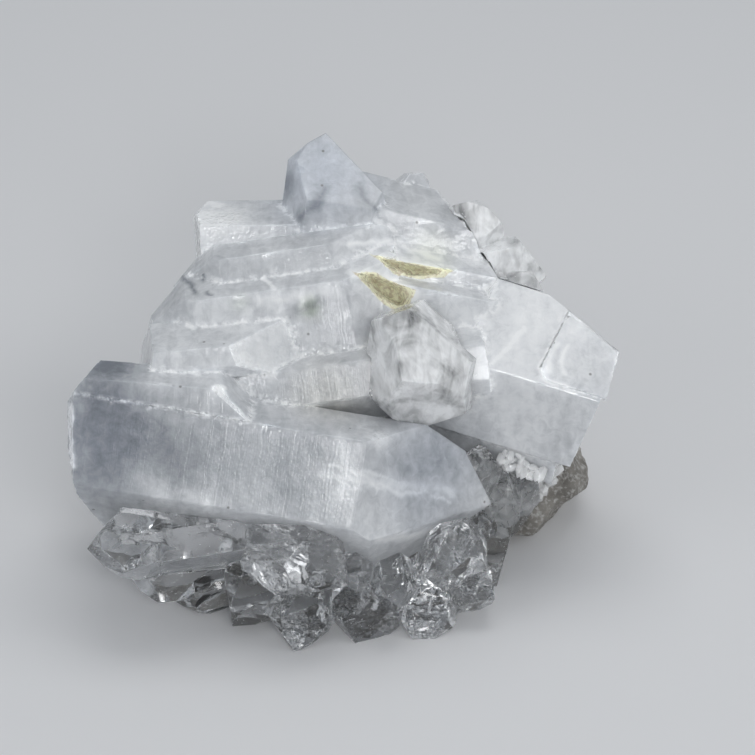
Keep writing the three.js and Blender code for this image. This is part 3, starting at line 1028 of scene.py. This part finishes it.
milky_quartz = milky_finish()
print("milky quartz:", len(milky_quartz.node_tree.nodes), "nodes")

# %% [markdown]
# ## Clear quartz
# The clear points are plain glass to the shader: a transmission of 0.98, quartz's refractive index
# and a faint grey absorption. What makes them sparkle is in the mesh: bevels, relief and inner
# flaws. Two groups are clouded by veils, so there a noise lowers the transmission, the rest of the
# light scatters in a shallow white layer, and the faces grown onto the milky mass are white.

# %% Clear finish
GLASS_COLOUR, BODY_TINT = (0.98, 0.985, 0.99, 1), (0.86, 0.89, 0.93, 1)


def veil_amount(tree, place):
    """How much of the light a veil stops at each place, from 0 to 1. Faces on the mass are white."""
    haze = ramp(tree, noise(tree, place, 100, 3, 0.5, 0.8), [(0.34, 0.06), (0.46, 0.46), (0.62, 0.80)])
    streaks = noise(tree, stretched(tree, place, (0.3, 0.2, 0.7), (1.0, 0.30, 0.45)), 420, 5, 0.6, 0.5)
    streaks = ramp(tree, streaks, [(0.40, -0.16), (0.62, 0.30)])
    return maths(tree, "ADD", maths(tree, "ADD", haze, streaks), number(tree, "root"), use_clamp=True)


def clear_finish(name, transmission, absorption, swirl, veiled=False):
    """Glass with quartz's values. Its inner flaws stay smooth, and veils whiten it where asked."""
    finish, tree, shader, place = new_finish(name)
    outside = maths(tree, "SUBTRACT", 1.0, number(tree, "flaw"))
    shader.inputs["Base Color"].default_value = GLASS_COLOUR
    shader.inputs["IOR"].default_value = QUARTZ_IOR
    shader.inputs["Transmission Weight"].default_value = transmission
    if veiled:
        veil = maths(tree, "MULTIPLY", veil_amount(tree, place), outside)
        clear = maths(tree, "SUBTRACT", 1.0, veil, use_clamp=True)
        clear = maths(tree, "MULTIPLY", clear, transmission)
        tree.links.new(clear, shader.inputs["Transmission Weight"])
        glowing(shader, 2 * MM)
    rough = ramp(tree, noise(tree, place, 350, 4), [(0.48, 0.0), (0.75, 0.08)])
    rough = maths(tree, "ADD", rough, maths(tree, "MULTIPLY", number(tree, "broken"), 0.04))
    tree.links.new(maths(tree, "MULTIPLY", rough, outside), shader.inputs["Roughness"])
    lines = along_noise(tree, number(tree, "along"), 1.6)
    height = weighted_sum(tree, [(lines, 1.0), (noise(tree, place, 260, 2), 1.5)])
    height = maths(tree, "MULTIPLY", height, outside)
    tree.links.new(bump(tree, height, swirl, 0.8), shader.inputs["Normal"])
    body = {"Color": BODY_TINT, "Density": absorption}
    body = add(tree, "ShaderNodeVolumeAbsorption", body).outputs[0]
    tree.links.new(body, tree.nodes["Material Output"].inputs["Volume"])
    return finish


clear_quartz = clear_finish("clear quartz", 0.98, 5.0, 0.02 * MM)
veiled_quartz = clear_finish("veiled clear quartz", 0.96, 1.0, 0.09 * MM, veiled=True)
print("clear quartz: plain transmission, IOR", QUARTZ_IOR)

# %% [markdown]
# ## Vein rock
# The rock under the crystals is a grey-brown vein rock: paler patches of feldspar, darker clay
# between them and fine pale grains all over. Both patch colours are darker than the rock's own:
# painted shade for the shadow it lies in under the crystals. Where the crust of small points
# grows, quartz has whitened it.

# %% Rock finish
# both patch colours are painted shade, darker than the rock's own grey-brown
SHADED_CLAY, SHADED_FELDSPAR = (0.15, 0.14, 0.125, 1), (0.36, 0.34, 0.31, 1)
PALE_GRAIN, WHITENED = (0.52, 0.51, 0.49, 1), (0.88, 0.89, 0.90, 1)


def rock_finish():
    finish, tree, shader, place = new_finish("vein rock")
    patches = ramp(tree, noise(tree, place, 120, 5, 0.6), [(0.35, 0), (0.65, 1)])
    base = blend(tree, patches, SHADED_CLAY, SHADED_FELDSPAR)
    grains = ramp(tree, noise(tree, place, 900, 3), [(0.5, 0), (0.7, 1)])
    base = blend(tree, grains, base, PALE_GRAIN)
    base = blend(tree, number(tree, "crust"), base, WHITENED)
    tree.links.new(base, shader.inputs["Base Color"])
    shader.inputs["Roughness"].default_value = 0.75
    grit = bump(tree, noise(tree, place, 1400, 5, 0.65), 0.2 * MM, 0.8)
    tree.links.new(grit, shader.inputs["Normal"])
    return finish


vein_rock = rock_finish()
print("vein rock:", len(vein_rock.node_tree.nodes), "nodes")

# %% [markdown]
# ## Dressing the pieces
# Each skin takes the place of the plain solid that it grew from.

# %% Finish, body, solid and slot
VEILED = ("clear_crystal_centre", "clear_crystals_upper_right")


def dress(piece, node, finish):
    piece.data.materials.clear()
    piece.data.materials.append(finish)
    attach(piece, "root")
    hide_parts(node)


dress(milky, "milky_crystals", milky_quartz)
for piece, node in zip(clear_pieces, CLEAR_NODES):
    dress(piece, node, veiled_quartz if node in VEILED else clear_quartz)
dress(rock, "matrix", vein_rock)
print("dressed:", 2 + len(clear_pieces), "pieces")

# %% [markdown]
# ## Growing small things with Geometry Nodes
# Two things on the cluster repeat by the hundred and follow a surface: the bubbles under a crystal's
# skin and the small points of a crust. Geometry Nodes suit both. These helpers build a tree with
# named inputs, end it in real faces with their finish, and keep the result as a plain mesh, so that
# no live modifier is left on a piece.

# %% Geometry Nodes helpers
def new_growth(name, inputs):
    """A tree with a ground mesh, named inputs and one result."""
    tree = bpy.data.node_groups.new(name, "GeometryNodeTree")
    tree.interface.new_socket("Ground", in_out="INPUT", socket_type="NodeSocketGeometry")
    for label, kind in inputs.items():
        tree.interface.new_socket(label, in_out="INPUT", socket_type="NodeSocket" + kind)
    tree.interface.new_socket("Result", in_out="OUTPUT", socket_type="NodeSocketGeometry")
    return tree, tree.nodes.new("NodeGroupInput").outputs, tree.nodes.new("NodeGroupOutput").inputs


def between(tree, low, high, seed):
    """A random number for each point between two sockets or numbers."""
    inputs = {2: low, 3: high, "Seed": seed}
    return add(tree, "FunctionNodeRandomValue", inputs, data_type="FLOAT").outputs[1]


def turned_by(tree, rotation, angles):
    """Each point's own rotation, turned further about its own axes."""
    inputs = {"Rotation": rotation, "Rotate By": angles}
    return add(tree, "FunctionNodeRotateRotation", inputs, rotation_space="LOCAL").outputs[0]


def finished(tree, result, places, finish):
    """Sets a thing on every point, and ends the tree in real faces that carry their finish."""
    instances = add(tree, "GeometryNodeInstanceOnPoints", places)
    real = add(tree, "GeometryNodeRealizeInstances", {"Geometry": instances.outputs[0]})
    painted = add(tree, "GeometryNodeSetMaterial", {"Geometry": real.outputs[0], "Material": finish})
    tree.links.new(painted.outputs[0], result["Result"])


def grown_on(ground, tree, values, name):
    """Runs a tree on a mesh object and keeps only its result, as a plain mesh."""
    modifier = ground.modifiers.new(name, "NODES")
    modifier.node_group = tree
    for item in tree.interface.items_tree:
        if item.name in values:
            modifier[item.identifier] = values[item.name]
    graph = bpy.context.evaluated_depsgraph_get()
    mesh = bpy.data.meshes.new_from_object(ground.evaluated_get(graph))
    bpy.data.objects.remove(ground)
    piece = new_object(name, mesh)
    print(name, "has", sum(len(face.vertices) - 2 for face in mesh.polygons), "triangles")
    return piece


# %% [markdown]
# ## Veils of tiny bubbles
# Where a crack healed, it left minute bubbles and slivers that show as white veils and streaks.
# The tree scatters small eight-sided flakes over the crystal's own faces, sinks each one under the
# skin by its own depth, and crowds them where a noise is high. Each flake lies nearly in its face,
# so it glints when that face does. None hangs below the table.

# %% Bubble veils
VEIL_INPUTS = {
    "Crowding": "Float", "Clear Share": "Float", "Shallowest": "Float", "Deepest": "Float",
    "Smallest": "Float", "Largest": "Float", "Seed": "Int", "Finish": "Material",
}
VEIL_EDGE = 0.16
FLAKE_SHAPE = (1.0, 0.45, 0.2)


def scaled_by(tree, vector, factor):
    inputs = {0: vector, "Scale": factor}
    return add(tree, "ShaderNodeVectorMath", inputs, operation="SCALE").outputs[0]


def veil_tree():
    tree, given, result = new_growth("bubble veil", VEIL_INPUTS)
    here = add(tree, "GeometryNodeInputPosition").outputs[0]
    patches = {"Vector": here, "Scale": 260.0, "Detail": 4.0, "Distortion": 1.2}
    patches = add(tree, "ShaderNodeTexNoise", patches).outputs["Fac"]
    full = maths(tree, "ADD", given["Clear Share"], VEIL_EDGE)
    share = {"Value": patches, "From Min": given["Clear Share"], "From Max": full}
    share = add(tree, "ShaderNodeMapRange", share).outputs["Result"]
    crowd = maths(tree, "MULTIPLY", share, given["Crowding"])
    scatter = {"Mesh": given["Ground"], "Density": crowd, "Seed": given["Seed"]}
    scatter = add(tree, "GeometryNodeDistributePointsOnFaces", scatter)
    depth = between(tree, given["Shallowest"], given["Deepest"], given["Seed"])
    sink = scaled_by(tree, scatter.outputs["Normal"], maths(tree, "MULTIPLY", depth, -1.0))
    sunk = {"Geometry": scatter.outputs["Points"], "Offset": sink}
    sunk = add(tree, "GeometryNodeSetPosition", sunk).outputs[0]
    flake = add(tree, "GeometryNodeMeshUVSphere", {"Segments": 4, "Rings": 2, "Radius": 1.0})
    size = between(tree, given["Smallest"], given["Largest"], 7)
    spin = add(tree, "ShaderNodeCombineXYZ", {"Z": between(tree, -0.5, 0.5, 9)}).outputs[0]
    places = {
        "Points": sunk, "Instance": flake.outputs["Mesh"],
        "Rotation": turned_by(tree, scatter.outputs["Rotation"], spin),
        "Scale": scaled_by(tree, FLAKE_SHAPE, size),
    }
    finished(tree, result, places, given["Finish"])
    return tree


def veil_finish():
    """White flakes that glint a little, brighter and duller from place to place."""
    finish, tree, shader, place = new_finish("bubble veil")
    tone = ramp(tree, noise(tree, place, 800, 2), [(0.3, 0.85), (0.7, 1.0)])
    tree.links.new(tone, shader.inputs["Base Color"])
    shader.inputs["Roughness"].default_value = 0.3
    return finish


def copy_of(piece):
    twin = piece.copy()
    twin.data = piece.data.copy()
    bpy.context.scene.collection.objects.link(twin)
    return twin


# %% Veils in each group of clear points
veil_growth = veil_tree()
bubble_veil = veil_finish()
# for each node: flakes to a square metre, and how high the noise has to be for any to grow
VEILS = {
    "clear_crystal_centre": (3.0e6, 0.47), "clear_crystals_upper_right": (3.0e6, 0.47),
    "clear_crystals_front": (1.2e6, 0.52), "clear_crystals_left": (1.2e6, 0.54),
    "clear_crystals_right": (1.4e6, 0.50), "clear_crystals_back": (1.0e6, 0.52),
}
VEIL_SIZES = {
    "Shallowest": 0.25 * MM, "Deepest": 1.6 * MM, "Smallest": 0.05 * MM, "Largest": 0.40 * MM,
}
for order, (piece, node) in enumerate(zip(clear_pieces, CLEAR_NODES)):
    crowding, clear_share = VEILS[node]
    values = {"Crowding": crowding, "Clear Share": clear_share, "Seed": order, "Finish": bubble_veil}
    values |= VEIL_SIZES
    veil = grown_on(copy_of(piece), veil_growth, values, node.replace("crystal", "veil"))
    for corner in veil.data.vertices:
        corner.co.z = max(corner.co.z, 0)
    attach(veil, "root")

# %% [markdown]
# ## Druse
# Between the great prism's tip and the right block the rock carries a crust of small quartz points,
# and a finer one lines the foot of the block. One point with thirteen corners is modelled in code,
# and a tree sets it on a patch of skin many times, each along the skin's normal with its own lean,
# turn and size.

# %% One point, and the tree that sows it
SEAT, SHOULDER, TIP_TOP = -0.6, 1.0, 1.62
MOST_CROWDED = 4e6


def small_point():
    """A six-sided quartz point, one unit across and closed, with its foot below the ground."""
    turns = [math.pi * k / 3 for k in range(6)]
    ring = [(0.5 * math.cos(turn), 0.5 * math.sin(turn)) for turn in turns]
    corners = [(x, y, SEAT) for x, y in ring] + [(x, y, SHOULDER) for x, y in ring] + [(0, 0, TIP_TOP)]
    faces = [(k, (k + 1) % 6, 6 + (k + 1) % 6, 6 + k) for k in range(6)]
    faces += [(6 + k, 6 + (k + 1) % 6, 12) for k in range(6)] + [(5, 4, 3, 2, 1, 0)]
    mesh = bpy.data.meshes.new("small point")
    mesh.from_pydata(corners, [], faces)
    return new_object("small point", mesh)


def druse_tree():
    inputs = {
        "Point": "Object", "Spacing": "Float", "Smallest": "Float", "Largest": "Float", "Lean": "Float",
        "Seed": "Int", "Finish": "Material",
    }
    tree, given, result = new_growth("druse", inputs)
    scatter = {
        "Mesh": given["Ground"], "Distance Min": given["Spacing"], "Density Max": MOST_CROWDED,
        "Seed": given["Seed"],
    }
    scatter = add(tree, "GeometryNodeDistributePointsOnFaces", scatter, distribute_method="POISSON")
    point = add(tree, "GeometryNodeObjectInfo", {"Object": given["Point"]})
    lean_back = maths(tree, "MULTIPLY", given["Lean"], -1.0)
    leans = [between(tree, lean_back, given["Lean"], seed) for seed in (1, 2)]
    tilt = {"X": leans[0], "Y": leans[1], "Z": between(tree, 0.0, 3.0, 3)}
    tilt = add(tree, "ShaderNodeCombineXYZ", tilt).outputs[0]
    places = {
        "Points": scatter.outputs["Points"], "Instance": point.outputs["Geometry"],
        "Rotation": turned_by(tree, scatter.outputs["Rotation"], tilt),
        "Scale": between(tree, given["Smallest"], given["Largest"], 4),
    }
    finished(tree, result, places, given["Finish"])
    return tree


def druse_finish():
    """Small points: whitish at the foot, glassy at the tip, never quite the same."""
    finish, tree, shader, place = new_finish("druse quartz")
    tone = ramp(tree, noise(tree, place, 500, 4), [(0.3, 0.9), (0.65, 1.0)])
    tree.links.new(tone, shader.inputs["Base Color"])
    glowing(shader, 2 * MM)
    shader.inputs["IOR"].default_value = QUARTZ_IOR
    shader.inputs["Transmission Weight"].default_value = 0.2
    rough = ramp(tree, noise(tree, place, 900, 2), [(0.4, 0.04), (0.7, 0.2)])
    tree.links.new(rough, shader.inputs["Roughness"])
    return finish


# %% The crusts
CRUST_DEPTH, BARELY_FACING = -60, 0.05
CRUST_LEAN, FIRST_CRUST_SEED = 0.75, 5


def druse_ground(carrier, outline):
    """The part of a piece's skin that carries a crust: seen inside the outline, and facing out."""
    mesh = carrier.data
    points = np.array([vert.co for vert in mesh.vertices])
    triangles = np.array([face.vertices for face in mesh.polygons])
    seen, out = as_seen(points)
    kept = inside_outline(seen, outline) & (out > CRUST_DEPTH) & (points[:, 2] > CRUST_FOOT)
    facing = normals_of(points, triangles) @ np.array(OUT) > BARELY_FACING
    chosen = triangles[(kept & facing)[triangles].all(axis=1)]
    return piece_from(points, chosen, "druse_ground")


# for each crust: how far apart its points stand, their smallest and largest width in millimetres,
# what carries them, and the outline
CRUSTS = {
    "druse": (2.4, 2.2, 4.8, rock, [
        (27, -6), (40, -12), (51, -16), (53, -20), (50, -24), (42, -26), (34, -30), (28, -26),
    ]),
    "druse_ledge": (1.5, 1.1, 2.6, milky, [
        (37, -11.5), (44, -13.5), (51, -17.5), (50, -20), (44, -18), (38, -15),
    ]),
}
point = small_point()
crust_growth, crust_finish = druse_tree(), druse_finish()
for order, (name, (spacing, smallest, largest, carrier, outline)) in enumerate(CRUSTS.items()):
    values = {
        "Point": point, "Spacing": spacing * MM, "Smallest": smallest * MM, "Largest": largest * MM,
        "Lean": CRUST_LEAN, "Seed": FIRST_CRUST_SEED + order, "Finish": crust_finish,
    }
    crust = grown_on(druse_ground(carrier, outline), crust_growth, values, name)
    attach(crust, "root")
bpy.data.objects.remove(point)

# %% [markdown]
# ## Floor and light
# Quartz shows its surroundings more than its own colour, so the light has to be simple: a small
# bright softbox near the eye for glints on the edges, a wide one above for the upper faces, and
# weak ones at the sides. A pale sky fills the gaps. Light has to cross many faces of glass, so the
# limit on bounces is raised.

# %% Floor
FLOOR_REACH = 3.0
PAPER_COLOUR = (0.80, 0.80, 0.81, 1)


def floor():
    mesh = bpy.data.meshes.new("floor")
    corners = [(x * FLOOR_REACH, y * FLOOR_REACH, 0) for x, y in ((-1, -1), (1, -1), (1, 1), (-1, 1))]
    mesh.from_pydata(corners, [], [(0, 1, 2, 3)])
    ground = new_object("floor", mesh)
    finish, _, shader, _ = new_finish("paper")
    shader.inputs["Base Color"].default_value = PAPER_COLOUR
    shader.inputs["Roughness"].default_value = 0.9
    mesh.materials.append(finish)


floor()
print("floor:", 2 * FLOOR_REACH, "m across")

# %% Light
HEART = Vector((0, 0, 0.045))
SKY_COLOUR, SKY_STRENGTH = (0.9, 0.95, 1.0, 1), 0.38
MOST_BOUNCES, MOST_REFLECTIONS = 20, 8
# each softbox: its place and its two sides in metres, and its power in watts
SOFTBOXES = {
    "front light": ((0.14, -0.70, 0.50), (0.26, 0.2), 1.3),
    "top light": ((0.05, 0.22, 0.80), (0.6, 0.4), 1.45),
    "left light": ((-0.65, -0.35, 0.40), (0.4, 0.5), 0.6),
    "right light": ((0.70, -0.15, 0.35), (0.25, 0.5), 0.6),
}


def softbox(name, place, size, power):
    light = bpy.data.lights.new(name, "AREA")
    light.shape = "RECTANGLE"
    light.size, light.size_y = size
    light.energy = power
    lamp = new_object(name, light)
    lamp.location = place
    lamp.rotation_euler = (HEART - Vector(place)).to_track_quat("-Z", "Y").to_euler()


for name, (place, size, power) in SOFTBOXES.items():
    softbox(name, place, size, power)
world = bpy.data.worlds.new("studio")
world.use_nodes = True
sky = world.node_tree.nodes["Background"].inputs
sky["Color"].default_value = SKY_COLOUR
sky["Strength"].default_value = SKY_STRENGTH
scene = bpy.context.scene
scene.world = world
scene.view_settings.view_transform = "Standard"
scene.cycles.max_bounces = MOST_BOUNCES
scene.cycles.transmission_bounces = MOST_BOUNCES
scene.cycles.glossy_bounces = MOST_REFLECTIONS
print(len(SOFTBOXES), "softboxes and a pale sky")
